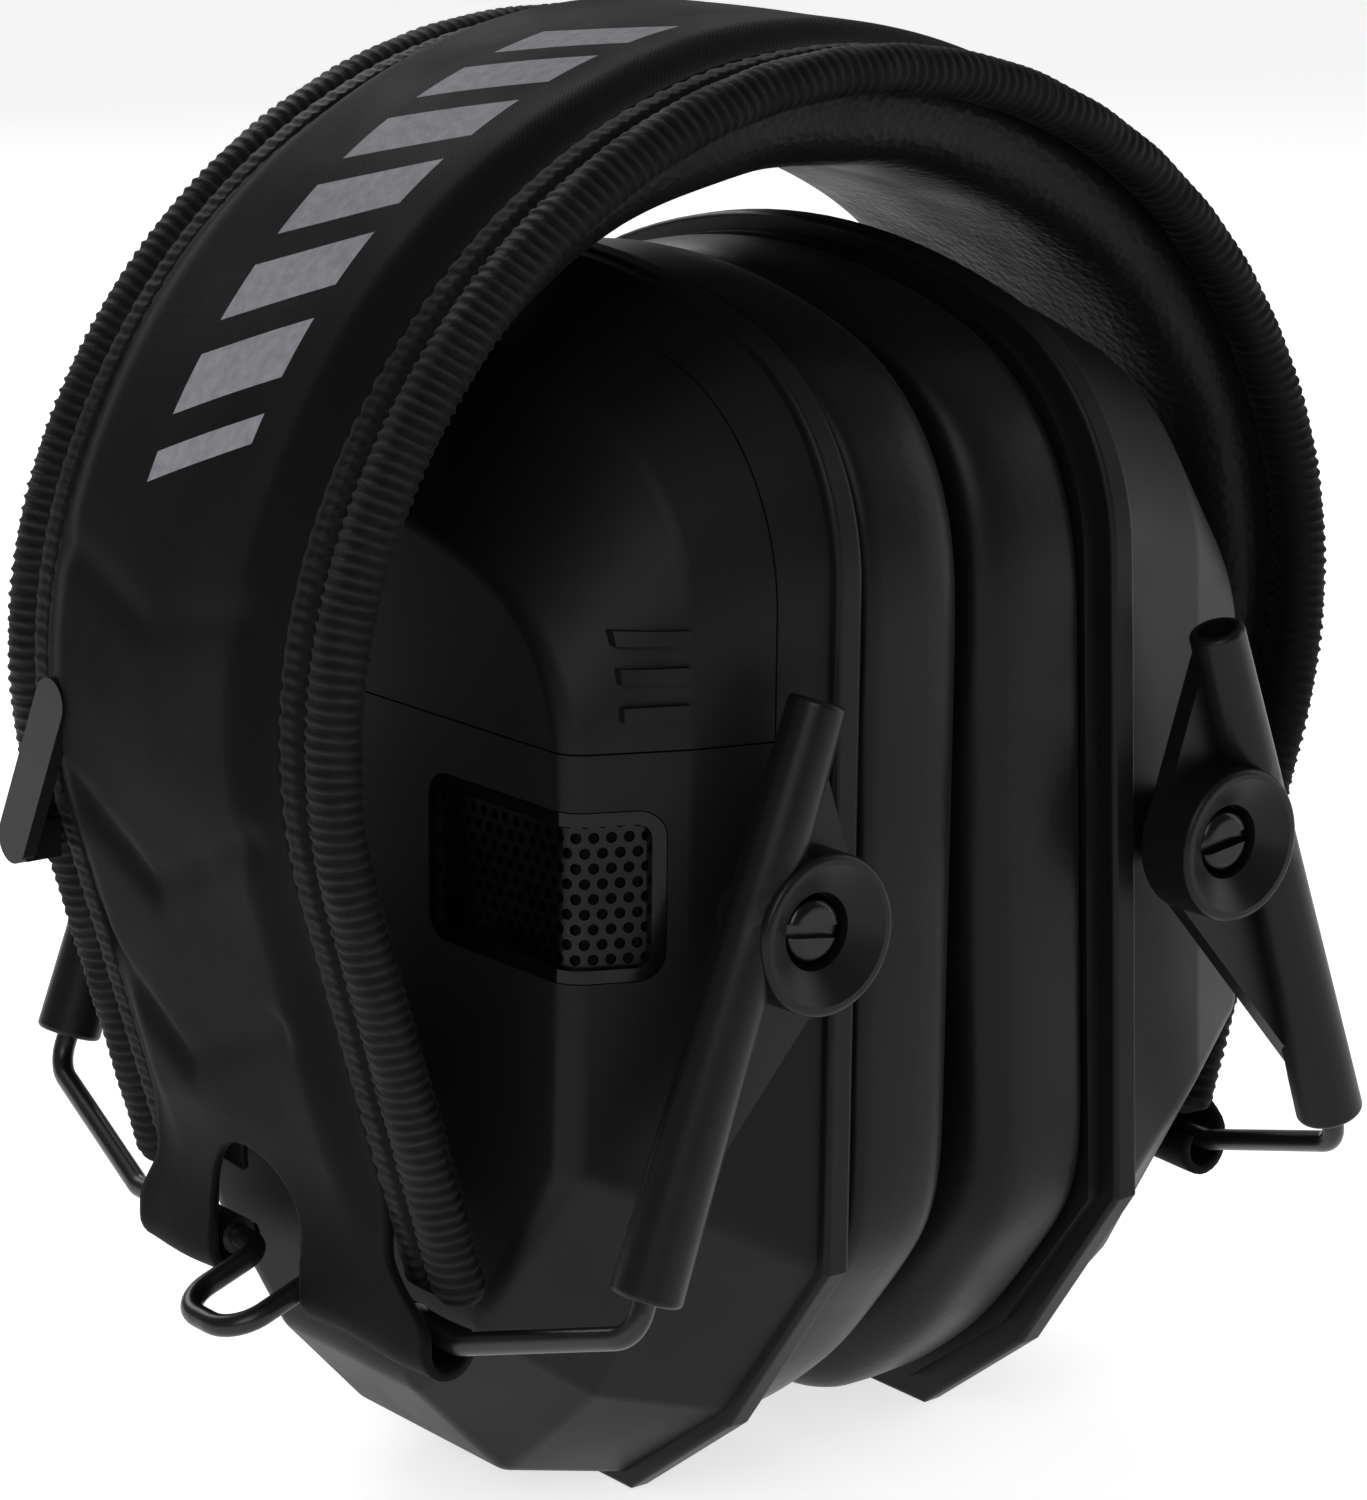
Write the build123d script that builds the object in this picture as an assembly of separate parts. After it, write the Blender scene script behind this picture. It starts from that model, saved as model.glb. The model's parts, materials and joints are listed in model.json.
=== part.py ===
"""Folding electronic earmuff, in its folded, stored position: both cups are tucked up under the headband.

The model is built with z = 0 on the axis of the cup pivots and lifted by PIVOT_HEIGHT when it is written,
so that the lower cup tip stands on z = 0. X runs across the head, Y from front to rear, Z up.
One side is built on the -X side, and the other is its mirror image. The right-hand cup hangs a little
tilted on its pivots, with its top against the other cup and its tip further out.
"""

from build123d import *
import os
from math import atan2, cos, degrees, hypot, radians, sin, sqrt

# ------------------------------------------------------------------ driving dimensions, mm
PIVOT_X = 23.4  # cup pivots either side of the middle
FIT = 0.05  # radial clearance of every turning fit
TOUCH_GAP = 0.25  # half the gap between the two folded cushions
RIGHT_TILT = 3.0  # degrees that the right-hand cup's tip hangs outwards

# headband: a flat crown arc, two shoulder arcs and straight ends that lean inwards
CROWN_Z = 67.5
SHOULDER_RADIUS = 46.5
SHOULDER_X = 9.8  # centres of the shoulder arcs
SHOULDER_Z = 14.5
BAND_LEAN = 16.7  # degrees that each straight end leans from vertical
BAND_END_Z = -33.2
BAND_HALF_WIDTH = 25.7
ROLL_WIDTH = 5.5  # the ribbed edge roll
ROLL_THICKNESS = 3.4
STITCH_WIDTH = 2.4  # the flat stitched row beside the roll
STRIP_THICKNESS = 0.8
STRIP_HALF_WIDTH = 14.0
STRIP_DEPTH = 1.4  # top of the spring strip under the edge line
COVER_THICKNESS = 1.2
COVER_CROWN = 1.8  # how far the padded middle stands out of the edge line
PAD_CROWN_Z = 56.2
PAD_SIDE_X = 48.0
PAD_TAPER_X = 46.9  # where the pad starts to thin, at z = 0
PAD_END_X = 40.9
NOTCH_HALF_WIDTH = 6.4
NOTCH_TOP_Z = -26.0

# clip on the rear edge of the band, at the left
CLIP_TOP = (-57.9, 14.4, 12.3)
CLIP_BOTTOM = (-58.0, 21.0, -1.1)
CLIP_WIDTH = 4.4
CLIP_THICKNESS = 1.3

# hinge at each end of the headband
HINGE_X = 44.0
HINGE_Z = -37.1
HINGE_SLEEVE_RADIUS = 1.7
HINGE_SLEEVE_Y = (8.2, 18.4)
HEM_RADIUS = 2.5
HEM_BORE = 1.8
HEM_Y = (7.0, 19.4)

# wire yoke
WIRE_RADIUS = 1.0
KINK_REACH = 9.0
KINK_DROP = 3.3
KINK_HALF_WIDTH = 4.4
YOKE_CORNER_Y = 24.8
YOKE_FOOT = -3.2  # where the leg bends, below the end of the sleeve

# arms: a tapered sleeve on each leg of the yoke, with the pivot boss beside it
ARM_Y = 44.2
SLEEVE_TOP = (-22.4, 18.8)
SLEEVE_BOTTOM = (-39.5, -28.3)
SLEEVE_TOP_RADIUS = 2.45
SLEEVE_BOTTOM_RADIUS = 3.05
BOSS_RADIUS = 6.8
BOSS_Y = (41.6, 47.4)
WEB_Y = (41.7, 43.5)
WEB_UPPER = (5.8, 3.0)  # corners of the web beside the boss, (x, z) from the pivot
WEB_LOWER = (3.0, -6.1)
SCREW_RADIUS = 2.0
SCREW_HEAD_RADIUS = 3.0
SCREW_HEAD_THICKNESS = 1.5
RECESS_RADIUS = 5.9
RECESS_DEPTH = 1.7
EDGE_ROUND = 0.5  # rounded edges of the small mouldings

# cups: three outlines, from the flange out to the flat outer face
WALL = 2.0
FLANGE_X = (14.7, 17.3)
PLATE_X = (13.2, 14.7)
BEVEL_X = 29.0
FACE_X = 38.6
SHELL_ROUND = 3.0  # radius of the soft edges between the shell's facets
FOOT_Z = -60.6  # tip of the flange
PIVOT_HEIGHT = (  # cup pivots above the tip of the tilted cup
    -FOOT_Z * cos(radians(RIGHT_TILT)) + (PIVOT_X - FLANGE_X[0]) * sin(radians(RIGHT_TILT))
)
COVER_SPLIT_Z = 14.0
COVER_SPLIT_X = 21.8
COVER_GAP = 0.15
LUG_RADIUS = 3.4
LUG_Y = 41.0

# soft parts of a cup
CUSHION_X = (TOUCH_GAP, 13.1)
CUSHION_ROUND = 4.0
EAR_HALF_WIDTH = 20.0
EAR_HALF_HEIGHT = 28.0
FOAM_X = (14.3, 16.1)

# microphone window, wrapped round the edge between the outer face and the side
WINDOW_X = 30.8
WINDOW_Y = -13.2
WINDOW_Z = (-5.2, 9.3)
WINDOW_CORNER = 2.4
BEZEL_WIDTH = 1.2

# inside the cups
SPEAKER_RADIUS = 13.0
BATTERY_RADIUS = 5.25  # AAA cell
BATTERY_LENGTH = 44.5
BATTERY_PLACES = ((26.4, 19.8), (26.4, 30.6))
BOARD_X = 29.4
KNOB_RADIUS = 6.0
KNOB_PLACE = (24.0, -24.0)
JACK_PLACE = (24.0, -37.5)
JACK_BORE = 1.8
JACK_LENGTH = 12.0
SCREW_POST_PLACES = ((33.6, 19.5), (33.6, -14.0))
SCREW_POST_RADIUS = 3.6
SHELL_SCREW_RADIUS = 1.2
SHELL_SCREW_DEPTH = 4.0  # how far each screw runs into its post

FAR = 200.0  # longer than the object, for cutting blocks


# ------------------------------------------------------------------ shared helpers
def write(name, shape):
    """Lift a finished node on to the floor and write it."""
    export_step(Pos(0, 0, PIVOT_HEIGHT) * shape, f"parts/{name}.step")


def other_side(shape):
    return mirror(shape, about=Plane.YZ)


def tilted(shape):
    """Tilt a piece of the right-hand cup about its pivots."""
    return Pos(PIVOT_X, 0, 0) * Rot(0, -RIGHT_TILT, 0) * Pos(-PIVOT_X, 0, 0) * shape


def front_and_rear(shape):
    """The shape and its image across the front-rear middle plane, as one node."""
    return Compound([shape, mirror(shape, about=Plane.XZ)])


def block(x, y, z):
    """A box from its three (low, high) pairs."""
    size = [high - low for low, high in (x, y, z)]
    middle = [(high + low) / 2 for low, high in (x, y, z)]
    return Pos(*middle) * Box(*size)


def rod_y(x, z, radius, y_low, y_high):
    """A cylinder along Y."""
    return Pos(x, (y_low + y_high) / 2, z) * Rot(90, 0, 0) * Cylinder(radius, y_high - y_low)


def rod_x(y, z, radius, x_low, x_high):
    """A cylinder along X."""
    return Pos((x_low + x_high) / 2, y, z) * Rot(0, 90, 0) * Cylinder(radius, x_high - x_low)


# ------------------------------------------------------------------ headband
def mirrored(point):
    return (-point[0], point[1])


def band_edges(outward=0.0):
    """The headband's side view, moved outwards from its edge line, from the left end to the right."""
    rise = CROWN_Z - SHOULDER_Z
    crown_radius = (SHOULDER_X**2 + rise**2 - SHOULDER_RADIUS**2) / (2 * (rise - SHOULDER_RADIUS))
    crown_centre = CROWN_Z - crown_radius
    lean = radians(BAND_LEAN)
    join_turn = atan2(SHOULDER_Z - crown_centre, SHOULDER_X)
    radius = SHOULDER_RADIUS + outward

    def on_shoulder(turn):
        return (SHOULDER_X + radius * cos(turn), SHOULDER_Z + radius * sin(turn))

    join = on_shoulder(join_turn)
    middle = on_shoulder((join_turn - lean) / 2)
    low = on_shoulder(-lean)
    end = (low[0] - (low[1] - BAND_END_Z) * sin(lean) / cos(lean), BAND_END_Z)
    return [
        Line(mirrored(end), mirrored(low)),
        ThreePointArc(mirrored(low), mirrored(middle), mirrored(join)),
        ThreePointArc(mirrored(join), (0, CROWN_Z + outward), join),
        ThreePointArc(join, middle, low),
        Line(low, end),
    ]


def along_band(section):
    """Sweep a section along the headband. Its first axis is +Y and its second points outwards."""
    path = Plane.XZ * Wire(band_edges())
    start = Plane(origin=path @ 0, x_dir=(0, 1, 0), z_dir=path % 0)
    return sweep(start * section, path=path)


def notched(shape):
    """Cut the slot at each end that the yoke's kink swings through."""
    round_z = NOTCH_TOP_Z - NOTCH_HALF_WIDTH
    slot = block((-FAR, FAR), (-NOTCH_HALF_WIDTH, NOTCH_HALF_WIDTH), (-FAR, round_z))
    return shape - (slot + rod_x(0, round_z, NOTCH_HALF_WIDTH, -FAR, FAR))


def crowned_section(half_width, base, edge, crown):
    """A flat-based section with a crowned top."""
    top = ThreePointArc((-half_width, edge), (0, crown), (half_width, edge))
    base_line = Polyline((half_width, edge), (half_width, base), (-half_width, base), (-half_width, edge))
    return make_face([top, base_line])


def band_edge():
    """The ribbed roll and the flat stitched row beside it, along the front edge."""
    roll_y = BAND_HALF_WIDTH - ROLL_WIDTH / 2
    roll = Pos(-roll_y, -ROLL_THICKNESS / 2) * Ellipse(ROLL_WIDTH / 2, ROLL_THICKNESS / 2)
    row_width = STITCH_WIDTH + 1.0
    row_y = BAND_HALF_WIDTH - ROLL_WIDTH - STITCH_WIDTH + row_width / 2
    row = Pos(-row_y, -STRIP_DEPTH / 2 - 0.1) * Rectangle(row_width, STRIP_DEPTH - 0.2)
    return along_band(roll) + along_band(row)


def inner_pad():
    """The leather-covered pad that rests on the head: thick at the crown and thin at the ends."""
    half_width = BAND_HALF_WIDTH - ROLL_WIDTH - 0.2
    outer = band_edges(-STRIP_DEPTH - STRIP_THICKNESS)
    end = outer[-1] @ 1
    thin = (PAD_END_X, BAND_END_Z + 1.0)
    taper = (PAD_TAPER_X, 0)
    side = (PAD_SIDE_X, SHOULDER_Z)
    crown = EllipticalCenterArc((0, side[1]), side[0], PAD_CROWN_Z - side[1], start_angle=0, arc_size=180)
    right = Polyline(side, taper, thin, (end.X, end.Y))
    left = Polyline(mirrored(side), mirrored(taper), mirrored(thin), (-end.X, end.Y))
    inner = [crown, right, left, *outer]
    face = Plane.XZ * make_face(inner)
    return notched(extrude(face, amount=half_width, both=True))


def cable_clip():
    """A moulded clip hooked over the rear edge of the band, with a rounded tongue on its outside."""
    top, bottom = Vector(*CLIP_TOP), Vector(*CLIP_BOTTOM)
    span = top - bottom
    axis = span.normalized()
    outwards = Vector(-1, 0, 0)
    face = Plane(origin=(top + bottom) / 2, x_dir=axis, z_dir=outwards - axis * axis.dot(outwards))
    outline = SlotOverall(span.length + CLIP_WIDTH, CLIP_WIDTH)
    clip = extrude(face * outline, amount=CLIP_THICKNESS / 2, both=True)
    level = (-3.0, 0.4)
    outer_x, inner_x = (-55.5, -54.5), (-49.2, -48.2)
    rear_y = (BAND_HALF_WIDTH + 0.4, BAND_HALF_WIDTH + 1.4)
    clip += block((CLIP_BOTTOM[0], outer_x[1]), (19.6, 23.2), level)
    clip += block(outer_x, (23.0, rear_y[1]), level)
    clip += block((outer_x[0], inner_x[1]), rear_y, level)
    return clip + block(inner_x, (21.0, rear_y[1]), level)


def make_headband():
    cover_half = BAND_HALF_WIDTH - ROLL_WIDTH - STITCH_WIDTH - 0.1
    foam_crown = COVER_CROWN - COVER_THICKNESS
    foam = crowned_section(cover_half, -STRIP_DEPTH, -STRIP_DEPTH + 0.5, foam_crown)
    whole = crowned_section(cover_half, -STRIP_DEPTH, 0.1, COVER_CROWN)
    foam_solid = along_band(foam)
    strip_section = Pos(0, -STRIP_DEPTH - STRIP_THICKNESS / 2) * Rectangle(2 * STRIP_HALF_WIDTH, STRIP_THICKNESS)
    edge = band_edge()
    write("band_outer_cover", notched(along_band(whole) - foam_solid))
    write("band_foam", notched(foam_solid))
    write("band_spring_strip", notched(along_band(strip_section)))
    write("band_inner_pad", inner_pad())
    write("band_edge_front", edge)
    write("band_edge_rear", mirror(edge, about=Plane.XZ))
    write("cable_clip", cable_clip())


# ------------------------------------------------------------------ hinge, yoke and arms
def hinge_sleeves():
    low, high = HINGE_SLEEVE_Y
    tube = rod_y(-HINGE_X, HINGE_Z, HINGE_SLEEVE_RADIUS, -high, -low)
    tube -= rod_y(-HINGE_X, HINGE_Z, WIRE_RADIUS + FIT, -high, -low)
    return front_and_rear(tube)


def end_hem():
    """The rolled end of the cover, which holds the hinge sleeves on either side of the slot."""
    low, high = HEM_Y
    roll = rod_y(-HINGE_X, HINGE_Z, HEM_RADIUS, -high, -low)
    bore = rod_y(-HINGE_X, HINGE_Z, HEM_BORE, -high, -low)
    return front_and_rear(roll - bore)


def on_leg(distance_up):
    """A point (x, z) on the leg's axis, measured up from the bottom of the sleeve."""
    dx = SLEEVE_TOP[0] - SLEEVE_BOTTOM[0]
    dz = SLEEVE_TOP[1] - SLEEVE_BOTTOM[1]
    length = hypot(dx, dz)
    return (SLEEVE_BOTTOM[0] + dx * distance_up / length, SLEEVE_BOTTOM[1] + dz * distance_up / length)


def leg_frame(distance_up, y):
    """A location on the leg whose Z axis runs up the leg."""
    x, z = on_leg(distance_up)
    lean = degrees(atan2(SLEEVE_TOP[0] - SLEEVE_BOTTOM[0], SLEEVE_TOP[1] - SLEEVE_BOTTOM[1]))
    return Pos(x, y, z) * Rot(0, lean, 0)


def wire_yoke():
    """One bent wire: a leg in each arm, and between them the hinge run with its outward kink."""
    leg_top = on_leg(40.0)
    leg_foot = on_leg(YOKE_FOOT)
    kink = (-HINGE_X - KINK_REACH, HINGE_Z - KINK_DROP)
    neck = KINK_HALF_WIDTH
    half = [
        (leg_top[0], -ARM_Y, leg_top[1]),
        (leg_foot[0], -ARM_Y, leg_foot[1]),
        (-HINGE_X, -YOKE_CORNER_Y, HINGE_Z),
        (-HINGE_X, -neck, HINGE_Z),
        (kink[0], -neck, kink[1]),
    ]
    points = half + [(x, -y, z) for x, y, z in reversed(half)]
    radii = [3.0, 2.6, 2.0, 3.4, 3.4, 2.0, 2.6, 3.0]
    path = FilletPolyline(*points, radius=radii)
    start = Plane(origin=path @ 0, z_dir=path % 0)
    return sweep(start * Circle(WIRE_RADIUS), path=path)


def arm():
    """The front arm: sleeve, pivot boss with a recess for the screw, and the web that joins them."""
    length = hypot(SLEEVE_TOP[0] - SLEEVE_BOTTOM[0], SLEEVE_TOP[1] - SLEEVE_BOTTOM[1])
    cone = Cone(SLEEVE_BOTTOM_RADIUS, SLEEVE_TOP_RADIUS, length)
    sleeve = leg_frame(length / 2, -ARM_Y) * fillet(cone.edges().filter_by(GeomType.CIRCLE), EDGE_ROUND)
    boss = rod_y(-PIVOT_X, 0, BOSS_RADIUS, -BOSS_Y[1], -BOSS_Y[0])
    boss = fillet(boss.edges().filter_by(GeomType.CIRCLE), EDGE_ROUND)
    web_line = Polyline(
        on_leg(length - 0.8),
        (WEB_UPPER[0] - PIVOT_X, WEB_UPPER[1]),
        (WEB_LOWER[0] - PIVOT_X, WEB_LOWER[1]),
        on_leg(1.5),
        close=True,
    )
    web = Pos(0, -WEB_Y[0], 0) * extrude(Plane.XZ * make_face(web_line), amount=WEB_Y[1] - WEB_Y[0])
    body = sleeve + boss + web
    body -= leg_frame(length / 2, -ARM_Y) * Cylinder(WIRE_RADIUS + FIT, 2 * length)
    body -= leg_frame(length - 2, -ARM_Y) * Cylinder(1.7, 4.2)
    body -= rod_y(-PIVOT_X, 0, SCREW_RADIUS + FIT, -FAR, 0)
    face_y = -BOSS_Y[1]
    recess = Pos(-PIVOT_X, face_y + RECESS_DEPTH / 2, 0) * Rot(90, 0, 0)
    body -= recess * Cone(SCREW_HEAD_RADIUS + 0.3, RECESS_RADIUS, RECESS_DEPTH)
    seat_y = face_y + RECESS_DEPTH
    body -= rod_y(-PIVOT_X, 0, SCREW_HEAD_RADIUS + 0.3, seat_y, seat_y + SCREW_HEAD_THICKNESS)
    return body


def pivot_screws():
    """The two slotted screws that a cup turns on."""
    head_y = -BOSS_Y[1] + RECESS_DEPTH
    head = rod_y(-PIVOT_X, 0, SCREW_HEAD_RADIUS, head_y, head_y + SCREW_HEAD_THICKNESS)
    head = fillet(head.faces().sort_by(Axis.Y)[0].edges(), 0.8 * SCREW_HEAD_THICKNESS)
    shank = rod_y(-PIVOT_X, 0, SCREW_RADIUS, head_y + SCREW_HEAD_THICKNESS - 0.1, -37.6)
    slot = Pos(-PIVOT_X, head_y, 0) * Rot(0, 8, 0) * Box(8.0, 1.8, 1.1)
    return front_and_rear(head + shank - slot)


def make_yokes():
    for side, place in (("left", lambda s: s), ("right", other_side)):
        write(f"{side}_hinge_sleeves", place(hinge_sleeves()))
        write(f"{side}_end_hem", place(end_hem()))
        write(f"{side}_wire_yoke", place(wire_yoke()))
        write(f"{side}_arm_front", place(arm()))
        write(f"{side}_arm_rear", place(mirror(arm(), about=Plane.XZ)))
        write(f"{side}_pivot_screws", place(pivot_screws()))


# ------------------------------------------------------------------ cups
def cup_outline(half_width, top, side_low, knee, foot):
    """A cup seen from the side: arched top, straight sides, and a tapered foot.

    knee and foot are the (y, z) corners of the taper.
    """
    corner_radius = 0.52 * half_width
    crown_radius = 1.93 * half_width
    corner_y = half_width - corner_radius
    crown_centre = top - crown_radius
    corner_z = crown_centre + sqrt((crown_radius - corner_radius) ** 2 - corner_y**2)
    reach = hypot(corner_y, corner_z - crown_centre)
    join = (corner_y * crown_radius / reach, crown_centre + (corner_z - crown_centre) * crown_radius / reach)
    turn = atan2(join[1] - corner_z, join[0] - corner_y) / 2
    middle = (corner_y + corner_radius * cos(turn), corner_z + corner_radius * sin(turn))
    right = [(half_width, corner_z), (half_width, side_low), knee, foot]
    left = [(-y, z) for y, z in reversed(right)]
    edges = [
        Polyline(*right, *left),
        ThreePointArc(left[-1], (-middle[0], middle[1]), (-join[0], join[1])),
        ThreePointArc((-join[0], join[1]), (0, top), join),
        ThreePointArc(join, middle, right[0]),
    ]
    return make_face(edges)


def at_x(face, x):
    """Stand an outline up across X, on the left side."""
    return Plane.YZ.offset(-x) * face


def prism(face, x_low, x_high):
    """An outline run from one distance from the middle to another, on the left side."""
    return extrude(at_x(face, x_high), amount=x_high - x_low)


def shell_form(inset):
    """The solid form of a cup's outer shell, moved in by a distance from its outer surface."""
    rim = cup_outline(39.5 - inset, 50.0 - inset, -32.0, (27.3 - inset, -48.8 + inset), (13.0, -59.4 + inset))
    bevel = cup_outline(36.4 - inset, 44.0 - inset, -25.5, (24.0 - inset, -45.6 + inset), (11.0, -57.0 + inset))
    face = cup_outline(32.2 - inset, 31.0 - inset, -21.0, (20.4 - inset, -38.6 + inset), (10.0, -46.8 + inset))
    sections = [at_x(rim, FLANGE_X[1]), at_x(bevel, BEVEL_X - inset / 2), at_x(face, FACE_X - inset)]
    return loft(sections, ruled=True)


def outer_form():
    """The outer shell's form with the edges between its facets softened."""
    form = shell_form(0)
    rim = form.faces().sort_by(Axis.X)[-1].edges()
    return fillet([edge for edge in form.edges() if edge not in rim], SHELL_ROUND)


def window_block(margin):
    """The space of the microphone window, grown by a margin all round."""
    low, high = WINDOW_Z
    side_x, rear_y = -WINDOW_X + margin, WINDOW_Y + margin
    shape = block((-FAR, side_x), (-FAR, rear_y), (low - margin, high + margin))
    along_y = shape.edges().filter_by(Axis.Y).group_by(Axis.X)[-1]
    along_x = shape.edges().filter_by(Axis.X).group_by(Axis.Y)[-1]
    return fillet([*along_y, *along_x], WINDOW_CORNER + margin)


def battery_cover_block(gap):
    """The space above and outside the cover's two parting planes."""
    return block((-FAR, -COVER_SPLIT_X - gap), (-FAR, FAR), (COVER_SPLIT_Z + gap, FAR))


def screw_places():
    return [(sign * y, z) for y, z in SCREW_POST_PLACES for sign in (1, -1)]


def shell_body():
    """The outer shell with its pivot lugs, microphone window and screw posts."""
    inner = shell_form(WALL)
    body = outer_form() - inner
    for y, z in screw_places():
        post = rod_x(y, z, SCREW_POST_RADIUS, -COVER_SPLIT_X + 0.1, -FLANGE_X[1])
        body += post & shell_form(WALL / 2)
        body -= rod_x(y, z, SHELL_SCREW_RADIUS, -FLANGE_X[1] - SHELL_SCREW_DEPTH - 0.2, -FLANGE_X[1])
    for sign in (1, -1):
        lug = rod_y(-PIVOT_X, 0, LUG_RADIUS, *sorted((sign * 33.5, sign * LUG_Y)))
        hole = rod_y(-PIVOT_X, 0, SCREW_RADIUS + FIT, *sorted((sign * 37.0, sign * (LUG_Y + 1))))
        body = body + lug - hole
    return body - window_block(0)


def grip_ribs():
    """Three raised bars on the battery cover, for the thumb."""
    ribs = []
    for z in (17.3, 20.4, 23.4):
        bar = block((-34.6, -29.5), (-40.0, -30.0), (z - 0.6, z + 0.6))
        ribs.append(bar & (shell_form(-0.5) - shell_form(0.4)))
    return ribs


def battery_cover():
    cover = (outer_form() - shell_form(WALL)) & battery_cover_block(COVER_GAP)
    for rib in grip_ribs():
        cover += rib
    return cover


def microphone_bezel():
    wall = outer_form() - shell_form(WALL - 0.4)
    return wall & (window_block(-0.1) - window_block(-BEZEL_WIDTH))


def microphone_grille():
    wall = shell_form(0.7) - shell_form(1.4)
    return wall & window_block(-BEZEL_WIDTH - 0.05)


def cup_base():
    """The inner moulding: flange, seat for the cushion and the perforated wall behind the ear foam."""
    flange = cup_outline(40.6, 50.8, -32.5, (27.8, -50.2), (14.0, FOOT_Z))
    plate = cup_outline(38.6, 49.2, -32.5, (26.6, -48.0), (13.0, FOOT_Z + 2.6))
    rim = prism(flange, *FLANGE_X)
    rim = fillet([*rim.faces().sort_by(Axis.X)[0].edges(), *rim.faces().sort_by(Axis.X)[-1].edges()], EDGE_ROUND)
    body = rim + prism(plate, *PLATE_X)
    opening = Ellipse(EAR_HALF_WIDTH + 2, EAR_HALF_HEIGHT + 2)
    body -= prism(opening, PLATE_X[0], FOAM_X[1] + 0.1)
    for ring in (0, 4.5, 9.0):
        count = 1 if ring == 0 else round(ring * 4 / 3)
        for index in range(count):
            angle = 360 / count * index
            body -= rod_x(ring * cos(radians(angle)), ring * sin(radians(angle)), 1.1, -FLANGE_X[1], -FOAM_X[1])
    for y, z in screw_places():
        body -= rod_x(y, z, SHELL_SCREW_RADIUS + 0.2, -FLANGE_X[1], -PLATE_X[0])
        body -= rod_x(y, z, 2.5, -PLATE_X[0] - 1.6, -PLATE_X[0])
    return body


def shell_screws():
    """Four screws that hold the base on to the shell's posts, under the cushion."""
    screws = []
    for y, z in screw_places():
        head = rod_x(y, z, 2.0, -PLATE_X[0] - 1.5, -PLATE_X[0] - 0.3)
        shank = rod_x(y, z, SHELL_SCREW_RADIUS, -FLANGE_X[1] - SHELL_SCREW_DEPTH, -PLATE_X[0] - 1.4)
        screws.append(head + shank)
    return Compound(screws)


def cushion():
    """The ring cushion that seals round the ear."""
    outline = cup_outline(36.0, 46.8, -31.0, (24.6, -45.6), (12.0, -54.6))
    ring = prism(outline, *CUSHION_X)
    ring = fillet(ring.faces().sort_by(Axis.X)[-1].edges(), CUSHION_ROUND)
    ring -= prism(Ellipse(EAR_HALF_WIDTH, EAR_HALF_HEIGHT), *CUSHION_X)
    return ring


def ear_foam():
    return prism(Ellipse(EAR_HALF_WIDTH + 1.7, EAR_HALF_HEIGHT + 1.7), *FOAM_X)


def speaker():
    """A round driver: basket, and a smaller magnet behind it."""
    basket = rod_x(0, 0, SPEAKER_RADIUS, -FLANGE_X[1] - 4.2, -FLANGE_X[1] - 0.2)
    magnet = rod_x(0, 0, SPEAKER_RADIUS * 0.6, -FLANGE_X[1] - 8.4, -FLANGE_X[1] - 4.2)
    return basket + magnet


def circuit_board():
    board = block((-BOARD_X - 1.6, -BOARD_X), (-20.0, 22.0), (-38.0, -7.5))
    chip = block((-BOARD_X - 3.0, -BOARD_X - 1.6), (-4.0, 6.0), (-26.0, -16.0))
    capacitor = rod_x(13.0, -18.0, 2.5, -BOARD_X - 6.0, -BOARD_X - 1.6)
    return board + chip + capacitor


def microphone():
    """An electret capsule behind the grille, facing outwards."""
    return rod_x(-21.0, 1.9, 3.0, -36.2, -32.4)


def battery_cells():
    """Two AAA cells one above the other, with their end caps."""
    cells = []
    for x, z in BATTERY_PLACES:
        cell = rod_y(-x, z, BATTERY_RADIUS, -BATTERY_LENGTH / 2, BATTERY_LENGTH / 2 - 1.0)
        cells.append(cell + rod_y(-x, z, 1.9, BATTERY_LENGTH / 2 - 1.0, BATTERY_LENGTH / 2))
    return Compound(cells)


def battery_tray():
    """The open-fronted box that holds the cells and carries the contacts."""
    tray = block((-30.0, -19.8), (-24.4, 24.4), (13.2, 37.2)) & shell_form(WALL + 0.3)
    return tray - block((-FAR, -21.0), (-22.9, 22.9), (14.2, 36.2))


def volume_knob():
    """A ribbed wheel on the rear side of the right-hand cup, built here on the left."""
    x, z = -KNOB_PLACE[0], KNOB_PLACE[1]
    wheel = rod_y(x, z, KNOB_RADIUS, 38.3, 41.2)
    wheel = fillet(wheel.faces().sort_by(Axis.Y)[-1].edges(), 0.8)
    for index in range(18):
        angle = radians(20 * index)
        wheel -= rod_y(x + KNOB_RADIUS * cos(angle), z + KNOB_RADIUS * sin(angle), 0.45, 38.0, 41.5)
    wheel -= block((x - 0.4, x + 0.4), (40.8, 42.0), (z + 1.0, z + 5.0))
    shaft = rod_y(x, z, 2.0, 31.0, 38.4)
    return wheel + shaft


def audio_jack():
    """A 3.5 mm socket in the rear side of the right-hand cup, built here on the left."""
    x, z = -JACK_PLACE[0], JACK_PLACE[1]
    body = rod_y(x, z, 3.2, 35.8 - JACK_LENGTH, 35.8)
    return body - rod_y(x, z, JACK_BORE, 35.8 - JACK_LENGTH, 35.8)


def make_cup(side, place):
    """Write the pieces that both cups have."""
    write(f"{side}_cup_base", place(cup_base()))
    write(f"{side}_ear_foam", place(ear_foam()))
    write(f"{side}_speaker", place(speaker()))
    write(f"{side}_circuit_board", place(circuit_board()))
    write(f"{side}_microphone", place(microphone()))
    write(f"{side}_microphone_bezel", place(microphone_bezel()))
    write(f"{side}_microphone_grille", place(microphone_grille()))
    write(f"{side}_shell_screws", place(shell_screws()))


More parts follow.
